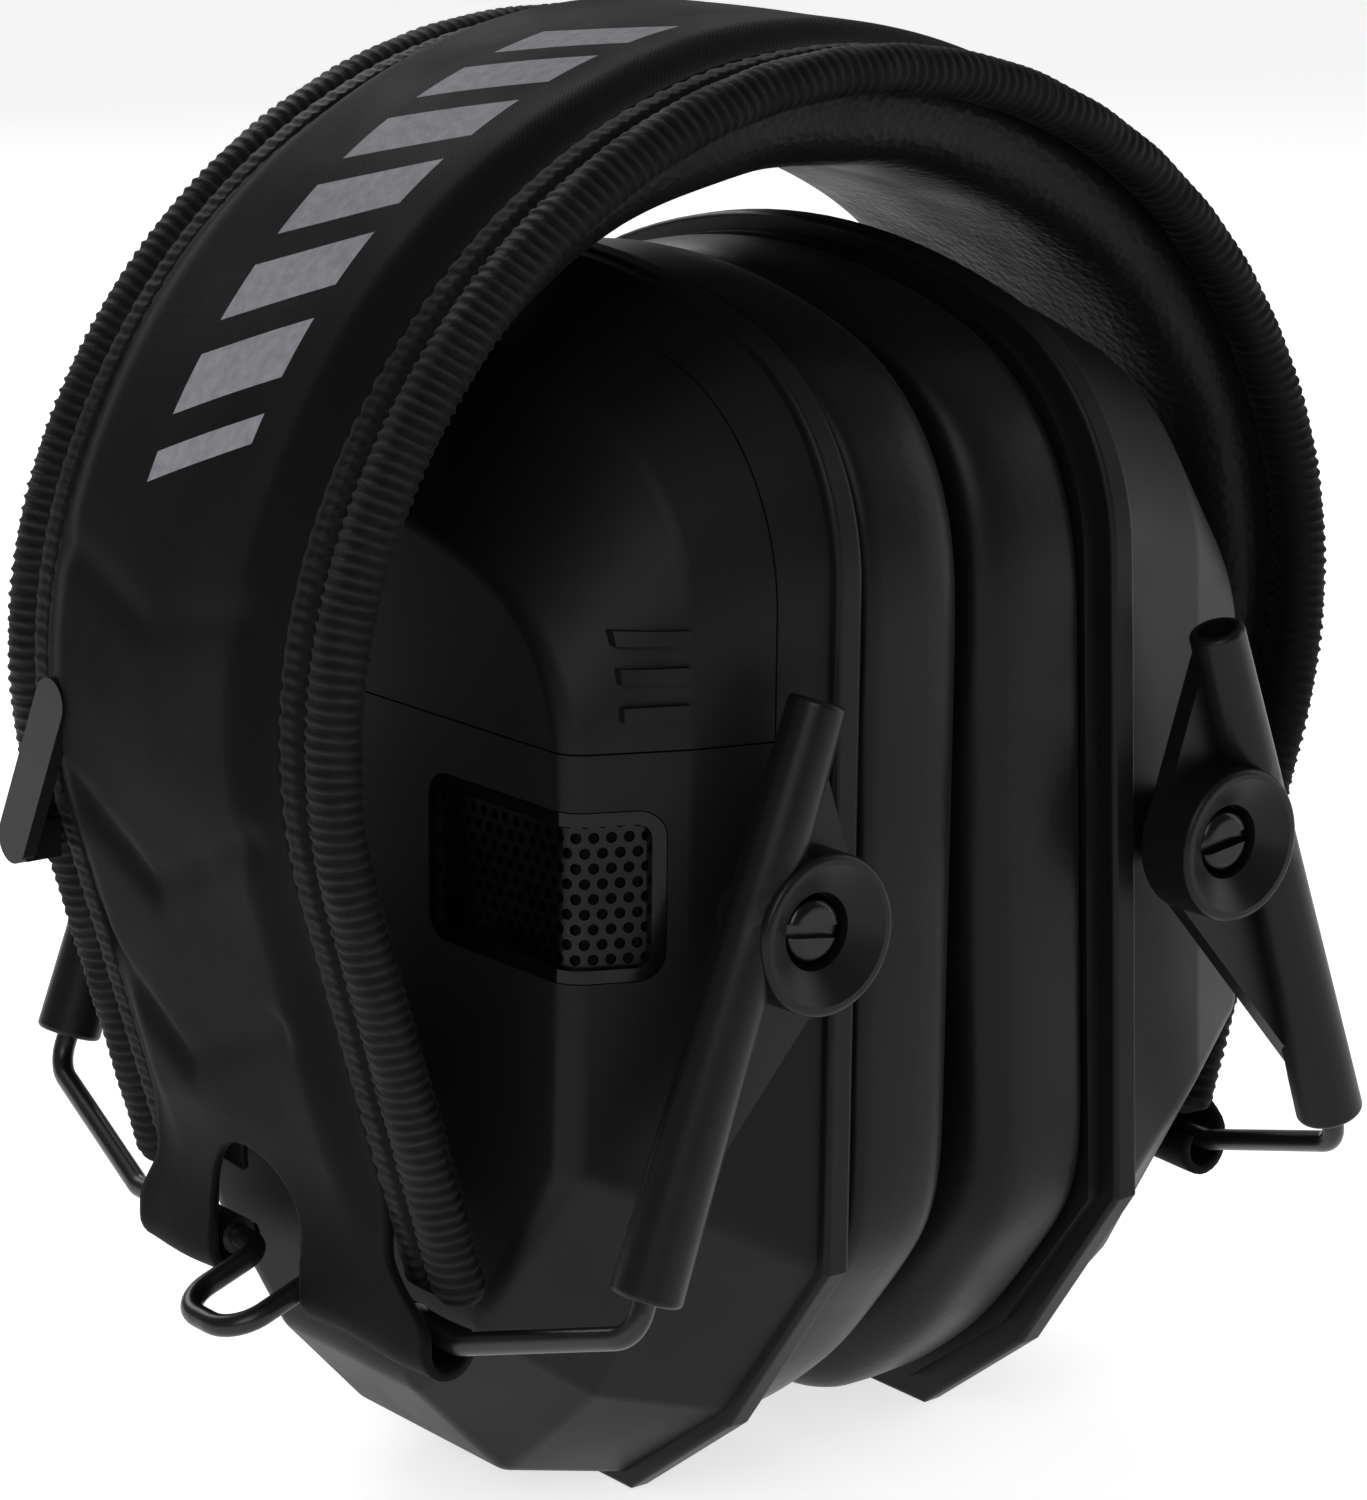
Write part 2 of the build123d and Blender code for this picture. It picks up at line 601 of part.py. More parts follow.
def right_place(shape):
    return tilted(other_side(shape))


def make_cups():
    make_cup("left", lambda shape: shape)
    make_cup("right", right_place)
    write("left_ear_cushion", cushion())
    write("right_ear_cushion", right_place(cushion()) & block((TOUCH_GAP, FAR), (-FAR, FAR), (-FAR, FAR)))
    write("left_cup_shell", shell_body() - battery_cover_block(0))
    write("left_battery_cover", battery_cover())
    write("left_battery_tray", battery_tray())
    write("left_battery_cells", battery_cells())

    knob_x, knob_z = -KNOB_PLACE[0], KNOB_PLACE[1]
    jack_x, jack_z = -JACK_PLACE[0], JACK_PLACE[1]
    shell = shell_body()
    shell -= rod_y(knob_x, knob_z, 2.0 + FIT, 0, FAR)
    shell -= rod_y(knob_x, knob_z, KNOB_RADIUS + 0.4, 38.0, FAR)
    shell -= rod_y(jack_x, jack_z, 3.2, 0, FAR)
    write("right_cup_shell", right_place(shell))
    write("right_volume_knob", right_place(volume_knob()))
    write("right_audio_jack", right_place(audio_jack()))


os.makedirs("parts", exist_ok=True)
make_headband()
make_yokes()
make_cups()
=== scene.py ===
import json
import math

import bmesh
import bpy
import numpy as np
from mathutils import Matrix, Vector


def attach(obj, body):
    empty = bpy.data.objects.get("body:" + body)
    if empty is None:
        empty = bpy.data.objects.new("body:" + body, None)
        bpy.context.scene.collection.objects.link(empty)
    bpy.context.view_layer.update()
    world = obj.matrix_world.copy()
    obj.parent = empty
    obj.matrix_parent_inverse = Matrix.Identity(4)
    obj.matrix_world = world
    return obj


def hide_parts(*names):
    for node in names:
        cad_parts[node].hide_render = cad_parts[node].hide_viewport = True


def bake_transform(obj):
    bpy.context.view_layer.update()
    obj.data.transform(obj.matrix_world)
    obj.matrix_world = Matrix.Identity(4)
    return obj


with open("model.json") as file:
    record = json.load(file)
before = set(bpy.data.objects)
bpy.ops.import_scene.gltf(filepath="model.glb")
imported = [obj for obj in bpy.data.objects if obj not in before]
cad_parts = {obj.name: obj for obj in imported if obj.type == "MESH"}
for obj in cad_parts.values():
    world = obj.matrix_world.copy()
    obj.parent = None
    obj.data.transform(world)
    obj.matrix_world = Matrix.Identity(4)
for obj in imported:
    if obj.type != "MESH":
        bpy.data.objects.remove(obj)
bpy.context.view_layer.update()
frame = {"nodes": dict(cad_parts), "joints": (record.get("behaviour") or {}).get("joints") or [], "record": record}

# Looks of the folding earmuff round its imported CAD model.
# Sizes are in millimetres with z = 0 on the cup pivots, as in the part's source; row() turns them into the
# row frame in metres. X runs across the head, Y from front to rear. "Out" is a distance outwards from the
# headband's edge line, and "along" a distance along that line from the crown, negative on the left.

MM = 0.001
JOINTS = {joint["name"]: joint for joint in frame["joints"]}
PIVOT_LEVEL = JOINTS["left_swivel"]["pos_m"][2]

# ------------------------------------------------------------------ sizes in mm, most of them the part's own
CROWN_Z = 67.5
SHOULDER_RADIUS = 46.5
SHOULDER_X = 9.8
SHOULDER_Z = 14.5
LEAN = math.radians(16.7)
BAND_END_Z = -33.2
COVER_HALF = 17.8
ROW_HALF = 20.3
BAND_HALF = 25.7
HEM_X = 44.2
HEM_Z = -38.0
HEM_RADIUS = 2.6
NOTCH_TOP_Z = -26.0
PAD_HALF = 19.5
PAD_TOP = 2.2
PIVOT_X = 23.4
RIGHT_TILT = math.radians(3.0)
TOUCH_GAP = 0.25
CUSHION_X = (TOUCH_GAP, 13.1)
CUSHION_OUTLINE = (38.8, 49.2)  # half width, and height above the pivots
EAR_OVAL = (20.0, 28.0)
FACE_X = 38.6
WINDOW_Y = -13.2
WINDOW_Z = (-5.2, 9.3)

RISE = CROWN_Z - SHOULDER_Z
CROWN_RADIUS = (SHOULDER_X**2 + RISE**2 - SHOULDER_RADIUS**2) / (2 * (RISE - SHOULDER_RADIUS))
CROWN_CENTRE = CROWN_Z - CROWN_RADIUS
JOIN_TURN = math.atan2(SHOULDER_Z - CROWN_CENTRE, SHOULDER_X)
CROWN_HALF = CROWN_RADIUS * (math.pi / 2 - JOIN_TURN)
STRAIGHT_FROM = CROWN_HALF + SHOULDER_RADIUS * (JOIN_TURN + LEAN)
LOW_Z = SHOULDER_Z - SHOULDER_RADIUS * math.sin(LEAN)
HALF_BAND = STRAIGHT_FROM + (LOW_Z - BAND_END_Z) / math.cos(LEAN)


# ------------------------------------------------------------------ shared helpers
def row(x, y, z):
    """Points in the row frame, in metres."""
    points = np.stack(np.broadcast_arrays(x, y, z), axis=-1).astype(float) * MM
    points[..., 2] += PIVOT_LEVEL
    return points


def smoothstep(low, high, value):
    t = np.clip((value - low) / (high - low), 0, 1)
    return t * t * (3 - 2 * t)


def grid_object(name, points, closed=False, uv=None, caps=False):
    """A mesh from a grid of points. closed joins the last column to the first, and caps fills both ends."""
    rows, columns = points.shape[:2]
    index = np.arange(rows * columns).reshape(rows, columns)
    right = np.roll(index, -1, axis=1)
    used = columns if closed else columns - 1
    quads = np.stack([index[:-1], index[1:], right[1:], right[:-1]], axis=-1)[:, :used].reshape(-1, 4)
    faces = quads.tolist()
    if caps:
        faces += [index[0].tolist(), index[-1][::-1].tolist()]
    mesh = bpy.data.meshes.new(name)
    mesh.from_pydata(points.reshape(-1, 3).tolist(), [], faces)
    if uv is not None:
        flat = uv.reshape(-1, 2)
        loops = np.array([loop.vertex_index for loop in mesh.loops])
        mesh.uv_layers.new(name="UVMap").data.foreach_set("uv", flat[loops].astype(np.float32).ravel())
    mesh.polygons.foreach_set("use_smooth", [True] * len(mesh.polygons))
    piece = bpy.data.objects.new(name, mesh)
    bpy.context.scene.collection.objects.link(piece)
    return piece


def face_outwards(piece):
    """Make a closed piece's faces point outwards."""
    shape = bmesh.new()
    shape.from_mesh(piece.data)
    bmesh.ops.recalc_face_normals(shape, faces=shape.faces)
    shape.to_mesh(piece.data)
    shape.free()


def bake_modifiers(piece):
    """Replace a piece's mesh by what its modifiers make of it."""
    graph = bpy.context.evaluated_depsgraph_get()
    mesh = bpy.data.meshes.new_from_object(piece.evaluated_get(graph))
    piece.modifiers.clear()
    piece.data = mesh
    mesh.polygons.foreach_set("use_smooth", [True] * len(mesh.polygons))


def thicken(piece, thickness):
    """Give a sheet a thickness on the inner side of its faces."""
    solidify = piece.modifiers.new("thickness", "SOLIDIFY")
    solidify.thickness = thickness * MM
    solidify.offset = -1
    bake_modifiers(piece)


def add_mark(piece, name, values):
    """A number at each point, for its material to read."""
    mark = piece.data.attributes.new(name, "FLOAT", "POINT")
    mark.data.foreach_set("value", np.asarray(values, np.float32).ravel())


# ------------------------------------------------------------------ materials
MATERIALS = {}


class Surface:
    """A material under construction: one Principled shader, and short calls for the nodes that feed it."""

    def __init__(self, name, colour, roughness, metallic=0.0, specular=0.5):
        self.material = bpy.data.materials.new(name)
        self.material.use_nodes = True
        self.tree = self.material.node_tree
        self.shader = self.tree.nodes["Principled BSDF"]
        self.place = self.tree.nodes.new("ShaderNodeTexCoord")
        self.colour = colour
        self.set(**{"Base Color": (*colour, 1), "Roughness": roughness, "Metallic": metallic})
        self.set(**{"Specular IOR Level": specular})
        MATERIALS[name] = self.material

    def set(self, **values):
        for socket, value in values.items():
            self.shader.inputs[socket].default_value = value

    def link(self, source, target):
        self.tree.links.new(source, target)

    def noise(self, scale, detail=3.0):
        node = self.tree.nodes.new("ShaderNodeTexNoise")
        node.inputs["Scale"].default_value = scale
        node.inputs["Detail"].default_value = detail
        self.link(self.place.outputs["Object"], node.inputs["Vector"])
        return node.outputs["Fac"]

    def math(self, operation, first, second=None):
        node = self.tree.nodes.new("ShaderNodeMath")
        node.operation = operation
        for socket, value in zip(node.inputs, (first, second)):
            if isinstance(value, (int, float)):
                socket.default_value = value
            elif value is not None:
                self.link(value, socket)
        return node.outputs[0]

    def spread(self, value, low, high):
        node = self.tree.nodes.new("ShaderNodeMapRange")
        self.link(value, node.inputs["Value"])
        node.inputs["From Min"].default_value, node.inputs["From Max"].default_value = 0.3, 0.7
        node.inputs["To Min"].default_value, node.inputs["To Max"].default_value = low, high
        return node.outputs["Result"]

    def bump(self, height, depth, strength=1.0):
        node = self.tree.nodes.new("ShaderNodeBump")
        node.inputs["Strength"].default_value = strength
        node.inputs["Distance"].default_value = depth * MM
        self.link(height, node.inputs["Height"])
        self.link(node.outputs["Normal"], self.shader.inputs["Normal"])

    def blend_colour(self, share, other):
        node = self.tree.nodes.new("ShaderNodeMix")
        node.data_type = "RGBA"
        base = self.shader.inputs["Base Color"]
        first, second = [socket for socket in node.inputs if socket.type == "RGBA"]
        first.default_value, second.default_value = (*self.colour, 1), (*other, 1)
        self.link(share, node.inputs[0])
        result = [socket for socket in node.outputs if socket.type == "RGBA"][0]
        self.link(result, base)

    def worn(self, low, high, scale=60.0):
        """Handling marks: the roughness drifts between two values."""
        self.link(self.spread(self.noise(scale), low, high), self.shader.inputs["Roughness"])

    def uv(self):
        node = self.tree.nodes.new("ShaderNodeSeparateXYZ")
        self.link(self.place.outputs["UV"], node.inputs[0])
        return node.outputs["X"], node.outputs["Y"]

    def mark(self, name):
        node = self.tree.nodes.new("ShaderNodeAttribute")
        node.attribute_name = name
        return node.outputs["Fac"]


def grey(level):
    return (level, level * 1.01, level * 1.10)


def moulded(name, colour, rough, grain_scale, grain_depth, specular=0.16, **shader):
    """A moulded plastic or rubber with a fine spark-eroded grain and handling marks."""
    surface = Surface(name, colour, sum(rough) / 2, specular=specular)
    surface.set(**shader)
    surface.worn(*rough)
    surface.bump(surface.noise(grain_scale, 4.0), grain_depth)
    return surface


def metal(name, colour, rough, **shader):
    surface = Surface(name, colour, sum(rough) / 2, metallic=1.0)
    surface.set(**shader)
    surface.worn(*rough, scale=150.0)
    surface.bump(surface.noise(1500.0, 2.0), 0.01)


def weave(surface, pitch):
    """The height of a plain weave over the piece's own millimetre coordinates."""
    along, across = surface.uv()
    turns = 2 * math.pi / pitch
    waves = [surface.math("SINE", surface.math("MULTIPLY", way, turns)) for way in (along, across)]
    return surface.math("MULTIPLY", *waves)


def between(surface, value, low, high):
    """1 where a value lies between two limits."""
    over = surface.math("GREATER_THAN", value, low)
    return surface.math("MULTIPLY", over, surface.math("LESS_THAN", value, high))


PRINT_ALONG = (-66.0, -10.0)
PRINT_ACROSS = (-8.2, 4.0)
BAR_PITCH = 8.6
BAR_WIDTH = 5.4
BAR_SLANT = 0.42


def cover_fabric():
    """Woven black fabric with a grey print of slanted bars on the left of the crown."""
    surface = Surface("cover_fabric", grey(0.0040), 0.75, specular=0.07)
    surface.set(**{"Sheen Weight": 0.02, "Sheen Roughness": 0.45})
    along, across = surface.uv()
    slanted = surface.math("ADD", along, surface.math("MULTIPLY", across, BAR_SLANT))
    bar = surface.math("LESS_THAN", surface.math("FLOORED_MODULO", slanted, BAR_PITCH), BAR_WIDTH)
    lengthwise = between(surface, slanted, *PRINT_ALONG)
    inside = surface.math("MULTIPLY", lengthwise, between(surface, across, *PRINT_ACROSS))
    printed = surface.math("MULTIPLY", bar, inside)
    share = surface.math("MULTIPLY", printed, surface.spread(surface.noise(900.0), 0.75, 1.0))
    surface.blend_colour(share, grey(0.32))
    surface.worn(0.62, 0.82)
    grain = surface.math("ADD", surface.math("MULTIPLY", weave(surface, 0.45), 0.4), surface.noise(1500.0))
    surface.bump(grain, 0.03)


def edge_binding():
    """Corded textile: the crests of the cords are painted lighter than the gaps, a painted highlight on the crests
    and painted shade in the gaps.
    """
    surface = Surface("edge_binding", grey(0.0035), 0.7, specular=0.10)
    surface.set(**{"Sheen Weight": 0.03, "Sheen Roughness": 0.4})
    # painted highlight: where the crest mark is high, the cords are coloured a lighter grey than the shaded gaps
    share = surface.math("MULTIPLY", surface.mark("crest"), surface.spread(surface.noise(700.0), 0.5, 1.0))
    surface.blend_colour(share, grey(0.020))
    surface.worn(0.55, 0.75)
    surface.bump(surface.noise(2600.0, 2.0), 0.06)


def leather(name, level, rough, depth):
    """Soft coated fabric with a fine pebbled grain."""
    surface = Surface(name, grey(level), sum(rough) / 2, specular=0.16)
    surface.set(**{"Sheen Weight": 0.01})
    surface.worn(*rough, scale=90.0)
    cells = surface.tree.nodes.new("ShaderNodeTexVoronoi")
    cells.inputs["Scale"].default_value = 1300.0
    surface.link(surface.place.outputs["Object"], cells.inputs["Vector"])
    surface.bump(surface.math("ADD", cells.outputs["Distance"], surface.noise(500.0)), depth)


def ear_foam():
    surface = Surface("foam", grey(0.008), 0.95, specular=0.1)
    surface.worn(0.88, 1.0)
    surface.bump(surface.noise(1800.0, 5.0), 0.25)


def make_materials():
    cover_fabric()
    edge_binding()
    leather("pad_leather", 0.0038, (0.42, 0.58), 0.08)
    leather("cushion_leather", 0.004, (0.32, 0.44), 0.012)
    ear_foam()
    moulded("shell_plastic", grey(0.0042), (0.40, 0.52), 2400.0, 0.010)
    moulded("arm_plastic", grey(0.005), (0.30, 0.42), 2200.0, 0.008, specular=0.20)
    moulded("base_plastic", grey(0.0045), (0.38, 0.50), 2200.0, 0.010)
    coat = {"Coat Weight": 0.08, "Coat Roughness": 0.08}
    moulded("gloss_black", grey(0.002), (0.10, 0.20), 500.0, 0.004, **coat)
    moulded("black_wire", grey(0.006), (0.26, 0.38), 900.0, 0.006, specular=0.4)
    moulded("board_green", (0.01, 0.11, 0.04), (0.30, 0.45), 900.0, 0.01)
    moulded("battery_wrap", (0.35, 0.17, 0.03), (0.25, 0.35), 400.0, 0.004)
    metal("spring_steel", (0.42, 0.43, 0.45), (0.28, 0.40))
    metal("grille_metal", (0.020, 0.020, 0.022), (0.30, 0.42))
    metal("screw_metal", (0.030, 0.030, 0.032), (0.18, 0.28))
    metal("hinge_metal", (0.10, 0.10, 0.105), (0.25, 0.38))
    metal("jack_metal", (0.75, 0.68, 0.48), (0.18, 0.28))


def dress(piece, slot):
    """Give a piece the finish of one of the record's material slots."""
    piece.data.materials.clear()
    piece.data.materials.append(MATERIALS[slot])


def dress_cad_nodes():
    for subpart in frame["record"]["subparts"]:
        dress(frame["nodes"][subpart["node"]], subpart["material_slot"])


# ------------------------------------------------------------------ headband
def band_line(along):
    """The band's edge line: x, z and the outward normal's x and z."""
    distance = np.abs(along)
    side = np.where(along < 0, -1.0, 1.0)
    on_crown = distance < CROWN_HALF
    crown_turn = math.pi / 2 - distance / CROWN_RADIUS
    turn = np.where(on_crown, crown_turn, JOIN_TURN - (distance - CROWN_HALF) / SHOULDER_RADIUS)
    turn = np.maximum(turn, -LEAN)
    radius = np.where(on_crown, CROWN_RADIUS, SHOULDER_RADIUS)
    past = np.maximum(distance - STRAIGHT_FROM, 0)
    x = np.where(on_crown, 0, SHOULDER_X) + radius * np.cos(turn) - past * math.sin(LEAN)
    z = np.where(on_crown, CROWN_CENTRE, SHOULDER_Z) + radius * np.sin(turn) - past * math.cos(LEAN)
    return side * x, z, side * np.cos(turn), np.sin(turn)


def on_band(along, y, out):
    x, z, normal_x, normal_z = band_line(along)
    return row(x + normal_x * out, y, z + normal_z * out)


def bend_with_band(piece):
    """Bake a piece's placement into its mesh; nothing makes it follow the band's ends as they spread."""
    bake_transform(piece)


FLARE_LENGTH = 10.0  # the last stretch of the cover, which swings out to the hem
FLARE_PULL = 14.0
HEM_TURN = math.radians(215)
ROW_STEP = 0.75


def hem_line():
    """The right-hand end of the cover past the straight: the flare and the loop, as distance, x and z."""
    start = HALF_BAND - FLARE_LENGTH
    x, z, normal_x, normal_z = (float(v) for v in band_line(start))
    t = np.linspace(0, 1, 40)[:, None]
    begin, end = np.array([x, z]), np.array([HEM_X + HEM_RADIUS, HEM_Z])
    pull_in = FLARE_PULL * np.array([normal_z, -normal_x])
    pull_out = FLARE_PULL * np.array([0.0, -1.0])
    flare = (2 * t**3 - 3 * t**2 + 1) * begin + (t**3 - 2 * t**2 + t) * pull_in
    flare = flare + (3 * t**2 - 2 * t**3) * end + (t**3 - t**2) * pull_out
    turn = np.linspace(0, -HEM_TURN, 40)[1:, None]
    loop = np.hstack([HEM_X + HEM_RADIUS * np.cos(turn), HEM_Z + HEM_RADIUS * np.sin(turn)])
    line = np.vstack([flare, loop])
    steps = np.hypot(*np.diff(line, axis=0).T)
    return start + np.concatenate([[0], np.cumsum(steps)]), line[:, 0], line[:, 1]


def cover_line(along):
    """The cover's line: the band's edge line, then the flare and the hem."""
    distance, hem_x, hem_z = hem_line()
    reach, side = np.abs(along), np.where(along < 0, -1.0, 1.0)
    past = reach > distance[0]
    x, z, normal_x, normal_z = band_line(along)
    slope_x, slope_z = np.gradient(hem_x, distance), np.gradient(hem_z, distance)
    far_x, far_z = np.interp(reach, distance, hem_x), np.interp(reach, distance, hem_z)
    far_normal_x = -np.interp(reach, distance, slope_z)
    far_normal_z = np.interp(reach, distance, slope_x)
    x = np.where(past, side * far_x, x)
    z = np.where(past, far_z, z)
    return x, z, np.where(past, side * far_normal_x, normal_x), np.where(past, far_normal_z, normal_z)


# sewn V-shaped grooves on each side of the band: (apex, front end, rear end) as (y, z), width and depth
CHEVRONS = (
    (((-0.2, 21.2), (-12.9, 24.2), (14.5, 25.8)), 1.5, 0.45),
    (((3.2, -1.3), (-13.6, 6.1), (12.8, 5.7)), 1.6, 0.85),
    (((6.8, -18.8), (-10.4, -11.3), (15.9, -9.6)), 1.8, 1.0),
)


def distance_to_line(y, z, start, end):
    way = np.subtract(end, start)
    share = ((y - start[0]) * way[0] + (z - start[1]) * way[1]) / (way @ way)
    share = np.clip(share, 0, 1)
    return np.hypot(y - start[0] - share * way[0], z - start[1] - share * way[1])


def chevron_depth(y, z):
    depth = np.zeros(np.broadcast(y, z).shape)
    for (apex, front, rear), width, deep in CHEVRONS:
        nearest = np.minimum(distance_to_line(y, z, apex, front), distance_to_line(y, z, apex, rear))
        depth = depth + deep * np.exp(-((nearest / width) ** 2))
    return depth


def cut_slots(piece, wider=0.0):
    """Cut the arched slots that the kinks of the yokes swing through."""
    for side, middle_y, half in ((-1, 1.4, 7.0 + wider), (1, 0.0, 6.4 + wider)):
        turn = np.linspace(0, math.pi, 25)
        y = np.concatenate([middle_y + half * np.cos(turn), [middle_y - half, middle_y + half]])
        z = np.concatenate([NOTCH_TOP_Z + wider - half + half * np.sin(turn), [-60.0, -60.0]])
        x = np.array([side * 30.0, side * 62.0])[:, None]
        cutter = grid_object("slot_cutter", row(x, y[None, :], z[None, :]), closed=True, caps=True)
        face_outwards(cutter)
        cut = piece.modifiers.new("slot", "BOOLEAN")
        cut.operation = "DIFFERENCE"
        cut.solver = "EXACT"
        cut.object = cutter
        bake_modifiers(piece)
        bpy.data.objects.remove(cutter)


def band_cover():
    """The fabric cover with its padded middle, its grooves and the rolled hems at both ends."""
    end = hem_line()[0][-1]
    along = np.linspace(-end, end, int(2 * end / ROW_STEP))[:, None]
    share = np.linspace(-1, 1, 65)[None, :]
    widen = smoothstep(HALF_BAND - 3, HALF_BAND + 3, np.abs(along))
    half = COVER_HALF + widen * np.where(share < 0, 6.2, 2.7)
    y = share * half
    x, z, normal_x, normal_z = cover_line(along)
    flat = 1 - smoothstep(HALF_BAND - 12, HALF_BAND, np.abs(along))
    padded = smoothstep(0, 5.4, COVER_HALF - np.abs(y))
    out = 0.1 + flat * 1.9 * padded - flat * chevron_depth(y, z)
    out = out + 0.10 * np.sin(along / 6.1 + np.sin(y / 5.0)) * np.sin(y / 5.3 + 1.0)
    out = out + 0.16 * (1 - flat) * np.sin(y / 2.6 + along / 4.0)
    uv = np.stack(np.broadcast_arrays(along, y), axis=-1)
    cover = grid_object("band_cover", row(x + normal_x * out, y, z + normal_z * out), uv=uv)
    if cover.data.polygons[len(cover.data.polygons) // 2].normal.z < 0:
        cover.data.flip_normals()
    thicken(cover, 0.8)
    cut_slots(cover)
    dress(cover, "cover_fabric")
    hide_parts("band_outer_cover", "band_foam", "left_end_hem", "right_end_hem")
    bend_with_band(cover)


RIB_PITCH = 1.07
SAMPLES_PER_RIB = 6
ROLL_HALF = (2.75, 2.05)
ROLL_OUT = -1.5


def band_edge(name, side, node):
    """A corded roll along one edge of the band, with a sewn row between it and the cover."""
    reach = HALF_BAND + 2.0
    along = np.arange(-reach, reach, RIB_PITCH / SAMPLES_PER_RIB)[:, None]
    drift = 0.10 * np.sin(along / 9.0) + 0.05 * np.sin(along / 2.3)
    phase = 2 * math.pi * (along / RIB_PITCH + drift)
    sharp = 5.0 - 2.6 * smoothstep(20, 90, np.abs(along))
    crest = ((1 + np.cos(phase)) / 2) ** sharp
    turn = np.radians(np.linspace(168, -168, 22))[None, :]
    fluff = 0.04 * np.sin(along * 5.1 + 3 * turn) + 0.03 * np.sin(along * 11.7 - 2 * turn)
    grow = 0.20 * (crest - 0.5) + fluff
    roll_y = BAND_HALF - ROLL_HALF[0] + (ROLL_HALF[0] + grow) * np.cos(turn)
    roll_out = ROLL_OUT + (ROLL_HALF[1] + grow) * np.sin(turn)
    row_crest = ((1 + np.cos(phase + math.pi)) / 2) ** 1.5
    row_share = np.array([0.0, 0.3, 0.6, 0.9])[None, :]
    row_y = COVER_HALF - 0.2 + (ROW_HALF - COVER_HALF + 0.2) * row_share + 0 * along
    row_out = 0.15 + 0.22 * (row_crest - 0.3) * np.sin(math.pi * row_share) + 0.05 * np.sin(along * 3.3)
    under_y = np.array([ROW_HALF, COVER_HALF])[None, :] + 0 * along
    under_out = np.array([-2.4, -1.6])[None, :] + 0 * along
    y = np.concatenate([row_y, roll_y, under_y], axis=1)
    out = np.concatenate([row_out, roll_out, under_out], axis=1)
    ends = smoothstep(0, 1.8, reach - np.abs(along)) ** 0.5
    y = roll_middle(y, BAND_HALF - ROLL_HALF[0], ends)
    out = roll_middle(out, ROLL_OUT, ends)
    # painted highlight: the crests of the roll's outward face and of the sewn row are marked here for the material
    # to colour lighter
    roll_crest_highlight = crest * np.ones_like(turn) * smoothstep(-0.6, 0.5, np.sin(turn))
    marks = np.concatenate([0.8 * row_crest * np.sin(math.pi * row_share), roll_crest_highlight, 0 * under_y], axis=1)
    piece = grid_object(name, on_band(along, side * y, out), closed=True, caps=True)
    face_outwards(piece)
    add_mark(piece, "crest", marks)
    dress(piece, "edge_binding")
    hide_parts(node)
    bend_with_band(piece)


def roll_middle(values, middle, share):
    """Draw a section in towards its middle, to round off the ends of the roll."""
    return middle + (values - middle) * np.maximum(share, 0.05)


PAD_SIDE_X = 48.0  # the arch of the pad's inner face: half its width, and its top
PAD_CROWN_Z = 56.2
PAD_SIDE_LEVELS = (-32.2, 0.0, SHOULDER_Z)  # below the arch, the pad's depth at these heights
PAD_SIDE_DEPTHS = (3.1, 7.1, 8.3)
PAD_SLOT_MARGIN = 2.0  # the leather stops this far outside the cover's slots
PAD_SLACK = 0.3  # room for the creases above the cups


def pad_depth(along):
    """How far the pad's inner face lies inside the edge line."""
    x, z, normal_x, normal_z = band_line(along)
    wide, tall = PAD_SIDE_X, PAD_CROWN_Z - SHOULDER_Z
    a = (normal_x / wide) ** 2 + (normal_z / tall) ** 2
    b = -2 * (x * normal_x / wide**2 + (z - SHOULDER_Z) * normal_z / tall**2)
    c = (x / wide) ** 2 + ((z - SHOULDER_Z) / tall) ** 2 - 1
    arch = (-b - np.sqrt(np.maximum(b * b - 4 * a * c, 0))) / (2 * a)
    side = np.interp(z, PAD_SIDE_LEVELS, PAD_SIDE_DEPTHS)
    return np.where(z > SHOULDER_Z, arch, side)


def head_pad():
    """The leather pad inside the band: full at the crown, thin at its ends, with rounded sides."""
    reach = HALF_BAND - 0.6
    along = np.linspace(-reach, reach, 300)[:, None]
    turn = np.linspace(0, math.pi, 33)[None, :]
    depth = pad_depth(along) - PAD_SLACK
    y = PAD_HALF * np.sign(np.cos(turn)) * np.abs(np.cos(turn)) ** 0.42 + 0 * along
    bulge = np.sin(turn) ** 0.55
    crease = 0.25 * np.sin(along / 3.7 + np.sin(along / 11.0)) * smoothstep(0.5, 1.0, np.abs(y) / PAD_HALF)
    inwards = PAD_TOP + (depth - PAD_TOP) * bulge + crease * np.sin(turn)
    pad = grid_object("head_pad", on_band(along, y, -inwards), closed=True, caps=True)
    face_outwards(pad)
    cut_slots(pad, wider=PAD_SLOT_MARGIN)
    dress(pad, "pad_leather")
    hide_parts("band_inner_pad")
    bend_with_band(pad)


def spring_strip():
    """The spring steel strip between the cover and the pad."""
    reach = HALF_BAND - 10  # it stops short of the slots
    along = np.linspace(-reach, reach, 160)[:, None]
    y = np.array([14.0, 14.0, -14.0, -14.0])[None, :]
    out = np.array([-1.45, -2.15, -2.15, -1.45])[None, :]
    strip = grid_object("steel_strip", on_band(along, y, out), closed=True, caps=True)
    face_outwards(strip)
    dress(strip, "spring_steel")
    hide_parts("band_spring_strip")
    bend_with_band(strip)


# ------------------------------------------------------------------ soft parts of the cups
def on_cup(side, x, y, z):
    """Points of a cup, x outwards from the middle. The right-hand cup hangs tilted on its pivots."""
    if side == "left":
        return row(-x, y, z)
    lever = x - PIVOT_X
    tilted_x = PIVOT_X + lever * math.cos(RIGHT_TILT) - z * math.sin(RIGHT_TILT)
    return row(tilted_x, y, z * math.cos(RIGHT_TILT) + lever * math.sin(RIGHT_TILT))


